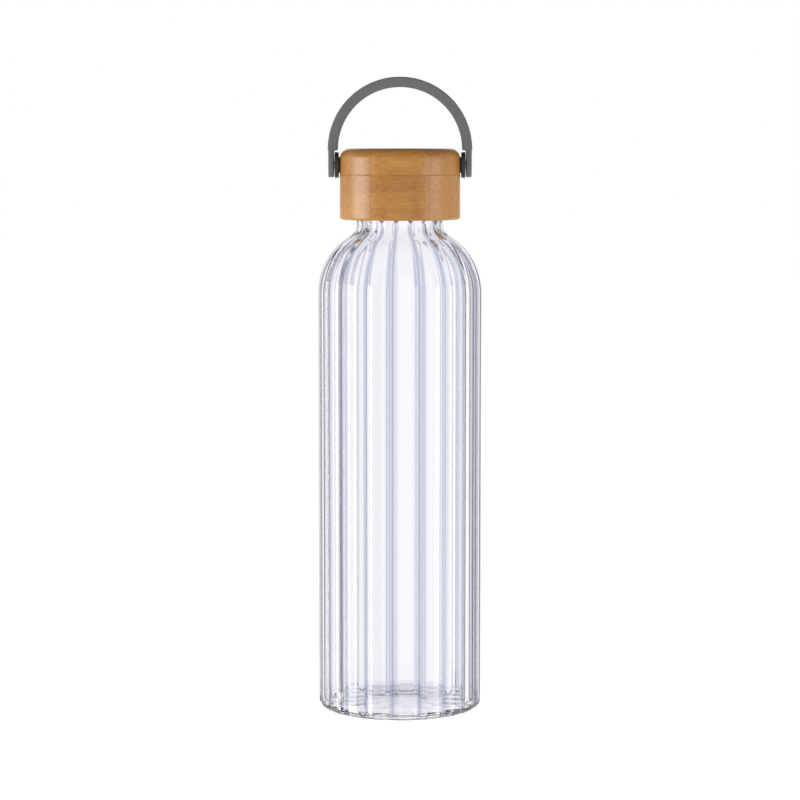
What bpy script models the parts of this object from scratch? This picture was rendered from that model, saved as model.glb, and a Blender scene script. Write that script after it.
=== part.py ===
"""Fluted glass water bottle with a bamboo screw lid and a swinging strap handle.

Metres, +Z up. The origin is the centre of the base, on the surface the bottle stands on.
The handle's pivots lie along X, and the front of the bottle faces -Y.
"""

from math import cos, pi, radians, sin, tau

import bmesh
import bpy
from mathutils import Vector

MM = 0.001
GAP = 0.3 * MM  # between pieces that touch

# Glass bottle
BODY_RADIUS = 32.5 * MM  # over the crests of the flutes
WALL = 2.2 * MM
FLOOR = 3.0 * MM
HEEL_RADIUS = 3.0 * MM
FOOT_INNER_RADIUS = 18.0 * MM  # the flat foot runs from here out to the heel
PUSH_UP = 1.2 * MM  # how far the middle of the base arches up
SHOULDER_HEIGHT = 167.6 * MM  # where the straight wall ends
SHOULDER_CENTRE = 10.5 * MM  # radius of the shoulder arc's centre
SHOULDER_RISE = 24.8 * MM
SHOULDER_END = radians(62)  # where the arc hands over to the neck's hollow curve
NECK_RADIUS = 17.3 * MM
NECK_BORE = 14.7 * MM
NECK_START = 194.4 * MM
FLUTES_END = 198.5 * MM  # above this the neck is round, for the thread
RIM_HEIGHT = 210.6 * MM
RIM_RADIUS = 0.8 * MM

FLUTES = 19
FLUTE_DEPTH = 0.9 * MM
INNER_FLUTE = 0.22  # the inner wall follows the flutes at this share of their depth
FLUTE_SEGMENTS = 4
FRONT_GROOVE = radians(-95.3)  # direction of the groove nearest the front

# Screw thread
PITCH = 4.0 * MM
THREAD_TURNS = 1.5
THREAD_START = 201.0 * MM
THREAD_CREST = 18.6 * MM
THREAD_DROP = 1.7 * MM  # the lid's thread lies this far under the neck's
THREAD_BITE = 0.5 * MM  # how far a ridge's root is sunk into its wall
THREAD_STEPS = 24  # to a turn

# Lid
LID_RADIUS = 24.0 * MM
LID_BOTTOM = 196.8 * MM
LID_SEAM = 214.6 * MM  # glue line between collar and cap
LID_TOP = 225.0 * MM
LID_TOP_EDGE = 4.0 * MM
LID_LOWER_EDGE = 1.2 * MM
SEAM_CHAMFER = 0.25 * MM
LID_SEGMENTS = 60
LINER_RADIUS = 20.6 * MM
LINER_WALL = 1.4 * MM
LINER_TOP = 1.75 * MM
LINER_CREST = 17.95 * MM  # inner edge of the female thread
SEAL_THICKNESS = 1.5 * MM

# Handle and its pivots: distances are measured outwards along X from the lid's axis
PIVOT_HEIGHT = 218.5 * MM
ARCH_HEIGHT = 224.6 * MM  # centre of the handle's half circle
HANDLE_INNER = 24.8 * MM
HANDLE_OUTER = 28.7 * MM
HANDLE_WIDTH = 10.0 * MM
HANDLE_EDGE = 0.7 * MM
LEAF_INNER = 26.3 * MM
LEAF_OUTER = 28.5 * MM
LEAF_TOP = 224.0 * MM  # above this the leg widens to its full thickness
ARCH_STEPS = 26
BOSS_RADIUS = 3.1 * MM
BOSS_START = 16.9 * MM
FLANGE_RADIUS = 5.2 * MM
FLANGE_START = 24.4 * MM
FLANGE_END = 26.0 * MM
INSERT_RADIUS = 2.5 * MM
INSERT_START = 8.6 * MM
SCREW_RADIUS = 1.5 * MM
SCREW_START = 9.2 * MM
HEAD_RADIUS = 2.7 * MM
HEAD_START = 27.6 * MM
HEAD_END = 28.4 * MM
SOCKET_RADIUS = 1.3 * MM
SOCKET_DEPTH = 0.5 * MM
PIN_SEGMENTS = 24
SIDES = (("left", -1), ("right", 1))


def clear_scene():
    for obj in list(bpy.data.objects):
        bpy.data.objects.remove(obj, do_unlink=True)


def make_material(name, colour, roughness, metallic=0.0, transmission=0.0):
    material = bpy.data.materials.new(name)
    material.use_nodes = True
    shader = material.node_tree.nodes["Principled BSDF"]
    shader.inputs["Base Color"].default_value = (*colour, 1.0)
    shader.inputs["Roughness"].default_value = roughness
    shader.inputs["Metallic"].default_value = metallic
    shader.inputs["Transmission Weight"].default_value = transmission
    return material


def add_object(name, mesh, material=None, parent=None):
    if material:
        mesh.materials.append(material)
    obj = bpy.data.objects.new(name, mesh)
    obj.parent = parent
    bpy.context.scene.collection.objects.link(obj)
    return obj


def add_empty(name, height):
    empty = bpy.data.objects.new(name, None)
    empty.location.z = height
    bpy.context.scene.collection.objects.link(empty)
    return empty


def bridge(bm, lower, upper):
    """Faces between two rings; a ring of one vertex is a pole."""
    count = max(len(lower), len(upper))
    for i in range(count):
        j = (i + 1) % count
        below = [lower[i % len(lower)], lower[j % len(lower)]]
        above = [upper[j % len(upper)], upper[i % len(upper)]]
        bm.faces.new(dict.fromkeys(below + above))


def loft(name, rings, closed=False):
    """A closed mesh through the rings of points, capped at its ends or joined end to end."""
    bm = bmesh.new()
    loops = [[bm.verts.new(point) for point in ring] for ring in rings]
    for lower, upper in zip(loops, loops[1:]):
        bridge(bm, lower, upper)
    if closed:
        bridge(bm, loops[-1], loops[0])
    else:
        for end in (loops[0], loops[-1]):
            if len(end) > 1:
                bm.faces.new(end)
    bmesh.ops.recalc_face_normals(bm, faces=bm.faces)
    mesh = bpy.data.meshes.new(name)
    bm.to_mesh(mesh)
    bm.free()
    mesh.shade_smooth()
    mesh.set_sharp_from_angle(angle=radians(35))
    return mesh


def circle(radius, height, segments):
    if radius == 0:
        return [Vector((0, 0, height))]
    angles = [tau * i / segments for i in range(segments)]
    return [Vector((radius * cos(a), radius * sin(a), height)) for a in angles]


def turned(name, outline, segments, closed=False):
    """A mesh turned about Z from an outline of (radius, height) points."""
    return loft(name, [circle(r, z, segments) for r, z in outline], closed)


def arc(centre_r, centre_z, radius_r, radius_z, start, end, steps):
    """Points (radius, height) along an arc of a circle or an ellipse, angles from outwards to up."""
    angles = [start + (end - start) * i / steps for i in range(steps + 1)]
    return [(centre_r + radius_r * cos(a), centre_z + radius_z * sin(a)) for a in angles]


def fillet(radius, height, size, steps):
    """A round edge between an upright wall at this radius and a level top at this height."""
    return arc(radius - size, height - size, size, size, 0, pi / 2, steps)


def boolean(target, other, operation):
    """Joins or cuts with a helper object, which stays in the scene as a wire."""
    other.hide_render = True
    other.display_type = "WIRE"
    modifier = target.modifiers.new(other.name, "BOOLEAN")
    modifier.operation = operation
    modifier.object = other


# Glass


def neck_blend(start, slope, neck_radius, neck_start, steps):
    """A hollow curve from a point on the shoulder, along its slope, into the upright neck."""
    start_r, start_z = start
    corner_z = start_z + (neck_radius - start_r) * slope
    points = []
    for i in range(1, steps + 1):
        t = i / steps
        r = (1 - t) ** 2 * start_r + 2 * t * (1 - t) * neck_radius + t * t * neck_radius
        z = (1 - t) ** 2 * start_z + 2 * t * (1 - t) * corner_z + t * t * neck_start
        points.append((r, z))
    return points


def shoulder(inset, neck_radius, depth):
    """(radius, height, flute depth) from the top of the straight wall to the start of the neck."""
    width = BODY_RADIUS - SHOULDER_CENTRE - inset
    rise = SHOULDER_RISE - inset
    curve = arc(SHOULDER_CENTRE, SHOULDER_HEIGHT, width, rise, 0, SHOULDER_END, 6)
    slope = -rise * cos(SHOULDER_END) / (width * sin(SHOULDER_END))
    curve += neck_blend(curve[-1], slope, neck_radius, NECK_START, 3)
    return [(r, z, depth * r / (BODY_RADIUS - inset)) for r, z in curve]


def outer_glass():
    """The outside from the middle of the base up to the rim."""
    foot = BODY_RADIUS - HEEL_RADIUS
    points = []
    for share in (0, 0.5, 1):
        points.append((FOOT_INNER_RADIUS * share, PUSH_UP * (1 - share * share), 0))
    heel = arc(foot, HEEL_RADIUS, HEEL_RADIUS, HEEL_RADIUS, -pi / 2, 0, 3)
    for i, (r, z) in enumerate(heel):
        points.append((r, z, FLUTE_DEPTH * (0.3 + 0.7 * i / 3)))
    points += shoulder(0, NECK_RADIUS, FLUTE_DEPTH)
    points.append((NECK_RADIUS, FLUTES_END, 0))
    rim = fillet(NECK_RADIUS, RIM_HEIGHT, RIM_RADIUS, 2)
    return points + [(r, z, 0) for r, z in rim]


def inner_glass():
    """The inside from the rim down to the middle of the floor."""
    rim = arc(NECK_BORE + RIM_RADIUS, RIM_HEIGHT - RIM_RADIUS, RIM_RADIUS, RIM_RADIUS, pi / 2, pi, 2)
    points = [(r, z, 0) for r, z in rim]
    points.append((NECK_BORE, FLUTES_END, 0))
    points += reversed(shoulder(WALL, NECK_BORE, FLUTE_DEPTH * INNER_FLUTE))
    radius = HEEL_RADIUS - WALL / 2
    corner = arc(BODY_RADIUS - WALL - radius, FLOOR + radius, radius, radius, 0, -pi / 2, 2)
    points += [(r, z, FLUTE_DEPTH * INNER_FLUTE) for r, z in corner]
    return points + [(0, FLOOR + PUSH_UP / 2, 0)]


def fluted_ring(radius, height, depth):
    """Round lobes with a narrow groove between them."""
    if radius == 0:
        return [Vector((0, 0, height))]
    points = []
    for i in range(FLUTES * FLUTE_SEGMENTS):
        across = 2 * (i % FLUTE_SEGMENTS) / FLUTE_SEGMENTS - 1
        r = radius - depth * across ** 4
        angle = FRONT_GROOVE + tau * i / (FLUTES * FLUTE_SEGMENTS)
        points.append(Vector((r * cos(angle), r * sin(angle), height)))
    return points


def helical_ridge(name, base_radius, crest_radius, start_height, base_width, crest_width):
    """A thread ridge of THREAD_TURNS turns whose crest fades out at both ends."""
    steps = round(THREAD_STEPS * THREAD_TURNS)
    fade = THREAD_STEPS // 8
    rings = []
    for i in range(steps + 1):
        angle = tau * i / THREAD_STEPS
        height = start_height + PITCH * i / THREAD_STEPS
        share = 0.4 + 0.6 * min(1, i / fade, (steps - i) / fade)
        crest = base_radius + (crest_radius - base_radius) * share
        lower_half = [(base_radius, -base_width), (crest, -crest_width)]
        upper_half = [(crest, crest_width), (base_radius, base_width)]
        section = lower_half + upper_half
        rings.append([Vector((r * cos(angle), r * sin(angle), height + w / 2)) for r, w in section])
    return loft(name, rings)


def make_glass(material):
    rings = [fluted_ring(*point) for point in outer_glass() + inner_glass()]
    glass = add_object("glass_body", loft("glass_body", rings), material)
    root = NECK_RADIUS - THREAD_BITE
    ridge = helical_ridge("neck_thread", root, THREAD_CREST, THREAD_START, 2.5 * MM, 1.2 * MM)
    boolean(glass, add_object("neck_thread", ridge), "UNION")


# Lid


def make_lid_cap(material, parent):
    base = LID_SEAM + GAP / 2
    outline = [(0, base), (LID_RADIUS - SEAM_CHAMFER, base), (LID_RADIUS, base + SEAM_CHAMFER)]
    outline += fillet(LID_RADIUS, LID_TOP, LID_TOP_EDGE, 5) + [(0, LID_TOP)]
    cap = add_object("lid_cap", turned("lid_cap", outline, LID_SEGMENTS), material, parent)
    hole = turned("pivot_hole", [
        (0, INSERT_START - GAP),
        (INSERT_RADIUS + GAP, INSERT_START - GAP),
        (INSERT_RADIUS + GAP, BOSS_START - GAP),
        (BOSS_RADIUS + GAP, BOSS_START - GAP),
        (BOSS_RADIUS + GAP, LID_RADIUS + 2 * MM),
        (0, LID_RADIUS + 2 * MM),
    ], PIN_SEGMENTS)
    for side, sign in SIDES:
        cutter = add_object(f"pivot_hole_{side}", hole)
        place_pivot_piece(cutter, sign)
        boolean(cap, cutter, "DIFFERENCE")


def make_lid_collar(material, parent):
    bore = LINER_RADIUS + GAP
    top = LID_SEAM - GAP / 2
    size = LID_LOWER_EDGE
    edge = arc(LID_RADIUS - size, LID_BOTTOM + size, size, size, -pi / 2, 0, 3)
    outline = [(bore, LID_BOTTOM)] + edge
    outline += [(LID_RADIUS, top - SEAM_CHAMFER), (LID_RADIUS - SEAM_CHAMFER, top), (bore, top)]
    add_object("lid_collar", turned("lid_collar", outline, LID_SEGMENTS, closed=True), material, parent)


def make_lid_liner(material, parent):
    top = LID_SEAM - GAP / 2
    inner = LINER_RADIUS - LINER_WALL
    base = LID_BOTTOM + GAP
    outline = [(0, top - LINER_TOP), (inner, top - LINER_TOP), (inner, base)]
    outline += [(LINER_RADIUS, base), (LINER_RADIUS, top), (0, top)]
    liner = add_object("lid_liner", turned("lid_liner", outline, LID_SEGMENTS), material, parent)
    start = THREAD_START - THREAD_DROP
    ridge = helical_ridge("liner_thread", inner + THREAD_BITE, LINER_CREST, start, 2.2 * MM, 0.9 * MM)
    boolean(liner, add_object("liner_thread", ridge), "UNION")


def make_seal(material, parent):
    bottom = RIM_HEIGHT + GAP
    top = bottom + SEAL_THICKNESS
    outer = LINER_RADIUS - LINER_WALL - GAP
    inner = NECK_BORE + 0.2 * MM
    outline = [(inner, bottom), (outer, bottom), (outer, top), (inner, top)]
    add_object("seal_ring", turned("seal_ring", outline, LID_SEGMENTS, closed=True), material, parent)


# Pivots: each outline runs outwards along the pivot axis, which is Z until the piece is turned


def place_pivot_piece(obj, sign):
    obj.location.z = PIVOT_HEIGHT
    obj.rotation_euler.y = sign * pi / 2


def add_pivot_pair(name, outline, material, parent, closed=False):
    mesh = turned(name, outline, PIN_SEGMENTS, closed)
    mesh.materials.append(material)
    for side, sign in SIDES:
        place_pivot_piece(add_object(f"{name}_{side}", mesh, parent=parent), sign)


def make_pivots(plastic, steel, brass, parent):
    bore = SCREW_RADIUS + GAP
    boss = [(bore, BOSS_START), (BOSS_RADIUS, BOSS_START), (BOSS_RADIUS, FLANGE_START)]
    boss += [(FLANGE_RADIUS, FLANGE_START), (FLANGE_RADIUS, FLANGE_END), (bore, FLANGE_END)]
    add_pivot_pair("pivot_boss", boss, plastic, parent, closed=True)
    insert_end = BOSS_START - GAP
    insert = [(bore, INSERT_START), (INSERT_RADIUS, INSERT_START)]
    insert += [(INSERT_RADIUS, insert_end), (bore, insert_end)]
    add_pivot_pair("pivot_insert", insert, brass, parent, closed=True)
    socket_floor = HEAD_END - SOCKET_DEPTH
    screw = [(0, SCREW_START), (SCREW_RADIUS, SCREW_START), (SCREW_RADIUS, HEAD_START)]
    screw += [(HEAD_RADIUS, HEAD_START), (HEAD_RADIUS, HEAD_END), (SOCKET_RADIUS, HEAD_END)]
    screw += [(SOCKET_RADIUS, socket_floor), (0, socket_floor)]
    add_pivot_pair("pivot_screw", screw, steel, parent)


# Handle, modelled about its pivot axis


def strap_ring(centre, outwards, inner, outer, half_width):
    """A cross-section of the strap with its four edges rounded off."""
    edge = min(HANDLE_EDGE, half_width / 2)
    corners = [
        (inner, half_width - edge), (inner + edge, half_width),
        (outer - edge, half_width), (outer, half_width - edge),
        (outer, edge - half_width), (outer - edge, -half_width),
        (inner + edge, -half_width), (inner, edge - half_width),
    ]
    return [centre + outwards * distance + Vector((0, y, 0)) for distance, y in corners]


def leg_rings(sign):
    """Sections from the round end of the leaf up to the start of the arch."""
    outwards = Vector((sign, 0, 0))
    end_radius = HANDLE_WIDTH / 2
    stations = []
    for i in range(6):
        angle = radians(15 + 15 * i)
        stations.append((-end_radius * cos(angle), LEAF_INNER, LEAF_OUTER, end_radius * sin(angle)))
    leaf_top = LEAF_TOP - PIVOT_HEIGHT
    stations.append((leaf_top, LEAF_INNER, LEAF_OUTER, end_radius))
    rings = []
    for z, inner, outer, half_width in stations:
        rings.append(strap_ring(Vector((0, 0, z)), outwards, inner, outer, half_width))
    return rings


def arch_rings():
    """Sections round the half circle, from +X over the top to -X."""
    centre = Vector((0, 0, ARCH_HEIGHT - PIVOT_HEIGHT))
    rings = []
    for i in range(ARCH_STEPS + 1):
        angle = pi * i / ARCH_STEPS
        outwards = Vector((cos(angle), 0, sin(angle)))
        rings.append(strap_ring(centre, outwards, HANDLE_INNER, HANDLE_OUTER, HANDLE_WIDTH / 2))
    return rings


def make_handle(material, pivot):
    rings = leg_rings(1) + arch_rings() + leg_rings(-1)[::-1]
    handle = add_object("handle_loop", loft("handle_loop", rings), material, pivot)
    bore = SCREW_RADIUS + GAP
    seat = HEAD_START - GAP
    hole = turned("screw_hole", [
        (0, HANDLE_INNER - 2 * MM),
        (bore, HANDLE_INNER - 2 * MM),
        (bore, seat),
        (HEAD_RADIUS + GAP, seat),
        (HEAD_RADIUS + GAP, HANDLE_OUTER + 2 * MM),
        (0, HANDLE_OUTER + 2 * MM),
    ], PIN_SEGMENTS)
    for side, sign in SIDES:
        cutter = add_object(f"screw_hole_{side}", hole)
        place_pivot_piece(cutter, sign)
        boolean(handle, cutter, "DIFFERENCE")


def main():
    clear_scene()
    glass = make_material("borosilicate_glass", (0.95, 0.97, 1.0), 0.02, transmission=1.0)
    bamboo = make_material("bamboo", (0.48, 0.25, 0.09), 0.5)
    liner_plastic = make_material("polypropylene", (0.85, 0.85, 0.83), 0.4)
    silicone = make_material("silicone", (0.75, 0.77, 0.78), 0.5)
    strap_plastic = make_material("grey_strap_plastic", (0.14, 0.145, 0.15), 0.55)
    black_plastic = make_material("black_plastic", (0.02, 0.02, 0.022), 0.5)
    steel = make_material("stainless_steel", (0.62, 0.61, 0.6), 0.3, metallic=1.0)
    brass = make_material("brass", (0.75, 0.55, 0.22), 0.35, metallic=1.0)

    make_glass(glass)
    seal_axis = add_empty("seal_axis", 0)
    lid_axis = add_empty("lid_axis", 0)
    lid_axis.parent = seal_axis
    handle_pivot = add_empty("handle_pivot", PIVOT_HEIGHT)
    handle_pivot.parent = lid_axis
    make_seal(silicone, seal_axis)
    make_lid_cap(bamboo, lid_axis)
    make_lid_collar(bamboo, lid_axis)
    make_lid_liner(liner_plastic, lid_axis)
    make_pivots(black_plastic, steel, brass, lid_axis)
    make_handle(strap_plastic, handle_pivot)


main()
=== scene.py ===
import math

import bmesh
import bpy
from mathutils import Matrix, Vector


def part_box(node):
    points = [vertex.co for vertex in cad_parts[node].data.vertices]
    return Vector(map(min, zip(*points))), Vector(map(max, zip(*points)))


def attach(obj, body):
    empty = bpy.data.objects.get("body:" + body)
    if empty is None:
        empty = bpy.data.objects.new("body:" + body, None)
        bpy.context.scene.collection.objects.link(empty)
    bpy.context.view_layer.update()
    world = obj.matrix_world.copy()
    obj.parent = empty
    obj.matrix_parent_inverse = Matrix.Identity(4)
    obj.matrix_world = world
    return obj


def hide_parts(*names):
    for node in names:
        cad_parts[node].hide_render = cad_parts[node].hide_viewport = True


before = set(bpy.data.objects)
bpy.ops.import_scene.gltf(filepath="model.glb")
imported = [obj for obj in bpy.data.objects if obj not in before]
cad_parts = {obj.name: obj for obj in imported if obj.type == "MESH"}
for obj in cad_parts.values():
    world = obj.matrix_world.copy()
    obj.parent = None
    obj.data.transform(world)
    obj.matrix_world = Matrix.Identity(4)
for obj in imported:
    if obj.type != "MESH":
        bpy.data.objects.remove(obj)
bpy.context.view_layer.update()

mm = 0.001


def linearColour(hexText):  # sRGB hex to the linear values that Blender stores
    parts = [int(hexText[i:i + 2], 16) / 255 for i in (1, 3, 5)]
    linear = [c / 12.92 if c <= 0.04045 else ((c + 0.055) / 1.055) ** 2.4 for c in parts]
    return (*linear, 1.0)


def addNode(tree, kind, settings=None, links=None):  # a link's value is a node, a socket or a constant
    node = tree.nodes.new(kind)
    for name, value in (settings or {}).items():
        setattr(node, name, value)
    for name, value in (links or {}).items():
        socket = node.inputs[name]
        if isinstance(value, bpy.types.Node):
            tree.links.new(value.outputs[0], socket)
        elif isinstance(value, bpy.types.NodeSocket):
            tree.links.new(value, socket)
        else:
            socket.default_value = value
    return node


def startMaterial(name):  # also gives the Object coordinates in mm, so that patterns keep their real size
    material = bpy.data.materials.new(name)
    material.use_nodes = True
    tree = material.node_tree
    coordinates = addNode(tree, "ShaderNodeTexCoord")
    place = addNode(tree, "ShaderNodeMapping",
                    links={"Vector": coordinates.outputs["Object"], "Scale": (1000,) * 3})
    return material, tree, tree.nodes["Principled BSDF"], place


def startGeometryTree(name, floats):  # a tree with a geometry, named float inputs and a material
    tree = bpy.data.node_groups.new(name, "GeometryNodeTree")
    tree.interface.new_socket("Geometry", in_out="OUTPUT", socket_type="NodeSocketGeometry")
    tree.interface.new_socket("Geometry", in_out="INPUT", socket_type="NodeSocketGeometry")
    for inputName in floats:
        tree.interface.new_socket(inputName, in_out="INPUT", socket_type="NodeSocketFloat")
    tree.interface.new_socket("Material", in_out="INPUT", socket_type="NodeSocketMaterial")
    return tree, tree.nodes.new("NodeGroupInput")


def endGeometryTree(tree, entry, geometry):
    real = addNode(tree, "GeometryNodeRealizeInstances", links={"Geometry": geometry})
    material = entry.outputs["Material"]
    painted = addNode(tree, "GeometryNodeSetMaterial", links={"Geometry": real, "Material": material})
    addNode(tree, "NodeGroupOutput", links={"Geometry": painted})
    return tree


def bakeTree(piece, tree, values):  # runs the tree on the piece and keeps the result as its plain mesh
    modifier = piece.modifiers.new(tree.name, "NODES")
    modifier.node_group = tree
    for item in tree.interface.items_tree:
        if item.in_out == "INPUT" and item.name in values:
            modifier[item.identifier] = values[item.name]
    bpy.context.view_layer.update()
    evaluated = piece.evaluated_get(bpy.context.evaluated_depsgraph_get())
    mesh = bpy.data.meshes.new_from_object(evaluated)
    piece.modifiers.remove(modifier)
    piece.data = mesh
    return piece


def addPiece(name, mesh, material=None):
    piece = bpy.data.objects.new(name, mesh)
    bpy.context.scene.collection.objects.link(piece)
    if material:
        piece.data.materials.clear()
        piece.data.materials.append(material)
    return piece


def smoothMesh(mesh, sharpAngle=35):
    mesh.shade_smooth()
    if sharpAngle:
        mesh.set_sharp_from_angle(angle=math.radians(sharpAngle))


def latheMesh(name, outline, segments, closed=False, shares=(), sharpAngle=35, startTurn=0.0):
    # outline points are (radius, height, share values); a radius of 0 is a pole, and shares become attributes
    points, rings = [], []
    values = [[] for share in shares]
    for radius, height, *extra in outline:
        count = 1 if radius == 0 else segments
        rings.append(range(len(points), len(points) + count))
        for i in range(count):
            angle = startTurn + math.tau * i / segments
            points.append((radius * math.cos(angle), radius * math.sin(angle), height))
        for i, column in enumerate(values):  # a share left out is 0
            column.extend([extra[i] if i < len(extra) else 0.0] * count)
    faces = []
    pairs = list(zip(rings, rings[1:])) + ([(rings[-1], rings[0])] if closed else [])
    for lower, upper in pairs:
        for i in range(segments):
            j = (i + 1) % segments
            corners = [lower[i % len(lower)], lower[j % len(lower)]]
            corners += [upper[j % len(upper)], upper[i % len(upper)]]
            faces.append(list(dict.fromkeys(corners)))
    mesh = bpy.data.meshes.new(name)
    mesh.from_pydata(points, [], faces)
    for share, column in zip(shares, values):
        mesh.attributes.new(share, "FLOAT", "POINT").data.foreach_set("value", column)
    turnOutwards(mesh)
    smoothMesh(mesh, sharpAngle)
    return mesh


def turnOutwards(mesh):
    bm = bmesh.new()
    bm.from_mesh(mesh)
    bmesh.ops.recalc_face_normals(bm, faces=bm.faces)
    bm.to_mesh(mesh)
    bm.free()


def arcPoints(centre, size, start, end, steps):  # (radius, height) along an arc, degrees from outwards to up
    points = []
    for i in range(steps + 1):
        angle = math.radians(start + (end - start) * i / steps)
        points.append((centre[0] + size[0] * math.cos(angle), centre[1] + size[1] * math.sin(angle)))
    return points


def makeFluteTree():
    names = ("Flutes", "Flute Depth", "Groove Turn", "Valley Softness", "Lobe Fullness", "Floor Dip",
             "Painted Shade Narrowness")
    tree, entry = startGeometryTree("flutedWall", names)
    position = addNode(tree, "GeometryNodeInputPosition")
    place = addNode(tree, "ShaderNodeSeparateXYZ", links={0: position})
    angle = addNode(tree, "ShaderNodeMath", {"operation": "ARCTAN2"},
                    {0: place.outputs[1], 1: place.outputs[0]})
    grooveTurn = entry.outputs["Groove Turn"]
    fromGroove = addNode(tree, "ShaderNodeMath", {"operation": "SUBTRACT"}, {0: angle, 1: grooveTurn})
    turns = addNode(tree, "ShaderNodeMath", {"operation": "DIVIDE"}, {0: fromGroove, 1: math.tau})
    count = addNode(tree, "ShaderNodeMath", {"operation": "MULTIPLY"},
                    {0: turns, 1: entry.outputs["Flutes"]})
    part = addNode(tree, "ShaderNodeMath", {"operation": "FRACT"}, {0: count})
    across = addNode(tree, "ShaderNodeMath", {"operation": "MULTIPLY_ADD"}, {0: part, 1: 2.0, 2: -1.0})
    fromCrest = addNode(tree, "ShaderNodeMath", {"operation": "ABSOLUTE"}, {0: across})
    fromValley = addNode(tree, "ShaderNodeMath", {"operation": "SUBTRACT"}, {0: 1.0, 1: fromCrest})
    softness = entry.outputs["Valley Softness"]
    square = addNode(tree, "ShaderNodeMath", {"operation": "MULTIPLY"}, {0: softness, 1: softness})
    bend = addNode(tree, "ShaderNodeMath", {"operation": "MULTIPLY_ADD"},
                   {0: fromValley, 1: fromValley, 2: square})
    root = addNode(tree, "ShaderNodeMath", {"operation": "SQRT"}, {0: bend})
    rise = addNode(tree, "ShaderNodeMath", {"operation": "SUBTRACT"}, {0: root, 1: softness})
    full = addNode(tree, "ShaderNodeMath", {"operation": "ADD"}, {0: square, 1: 1.0})
    fullRoot = addNode(tree, "ShaderNodeMath", {"operation": "SQRT"}, {0: full})
    fullRise = addNode(tree, "ShaderNodeMath", {"operation": "SUBTRACT"}, {0: fullRoot, 1: softness})
    ratio = addNode(tree, "ShaderNodeMath", {"operation": "DIVIDE"}, {0: rise, 1: fullRise})
    drop = addNode(tree, "ShaderNodeMath", {"operation": "SUBTRACT"}, {0: 1.0, 1: ratio})
    lobe = addNode(tree, "ShaderNodeMath", {"operation": "POWER"},
                   {0: drop, 1: entry.outputs["Lobe Fullness"]})
    share = addNode(tree, "GeometryNodeInputNamedAttribute", {"data_type": "FLOAT"},
                    {"Name": "fluteShare"})
    depth = addNode(tree, "ShaderNodeMath", {"operation": "MULTIPLY"},
                    {0: share, 1: entry.outputs["Flute Depth"]})
    inward = addNode(tree, "ShaderNodeMath", {"operation": "MULTIPLY"}, {0: depth, 1: lobe})
    moved = pushRadially(tree, entry.outputs["Geometry"], place, inward, -1.0)
    corner = addNode(tree, "GeometryNodeInputNamedAttribute", {"data_type": "FLOAT"},
                     {"Name": "floorShare"})
    dip = addNode(tree, "ShaderNodeMath", {"operation": "MULTIPLY"},
                  {0: corner, 1: entry.outputs["Floor Dip"]})
    fall = addNode(tree, "ShaderNodeMath", {"operation": "MULTIPLY"}, {0: dip, 1: drop})
    down = addNode(tree, "ShaderNodeCombineXYZ", links={2: fall})
    under = addNode(tree, "ShaderNodeVectorMath", {"operation": "SCALE"}, {0: down, "Scale": -1.0})
    moved = addNode(tree, "GeometryNodeSetPosition", links={"Geometry": moved, "Offset": under})
    # painted shade: a grey tint stored for the bottom of each outer groove, standing in for the darkness that
    # refraction draws there
    outside = addNode(tree, "GeometryNodeInputNamedAttribute", {"data_type": "FLOAT"},
                      {"Name": "outerShare"})
    valley = addNode(tree, "ShaderNodeMath", {"operation": "POWER"},
                     {0: drop, 1: entry.outputs["Painted Shade Narrowness"]})
    shade = addNode(tree, "ShaderNodeMath", {"operation": "MULTIPLY"}, {0: valley, 1: outside})
    stored = addNode(tree, "GeometryNodeStoreNamedAttribute", {"data_type": "FLOAT", "domain": "POINT"},
                     {"Geometry": moved, "Name": "paintedGrooveShade", "Value": shade})
    return endGeometryTree(tree, entry, stored)


def pushRadially(tree, geometry, place, amount, sign):
    flat = addNode(tree, "ShaderNodeCombineXYZ",
                   links={0: place.outputs[0], 1: place.outputs[1], 2: 0.0})
    direction = addNode(tree, "ShaderNodeVectorMath", {"operation": "NORMALIZE"}, {0: flat})
    signed = addNode(tree, "ShaderNodeMath", {"operation": "MULTIPLY"}, {0: amount, 1: sign})
    offset = addNode(tree, "ShaderNodeVectorMath", {"operation": "SCALE"},
                     {0: direction, "Scale": signed})
    return addNode(tree, "GeometryNodeSetPosition", links={"Geometry": geometry, "Offset": offset})


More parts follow.
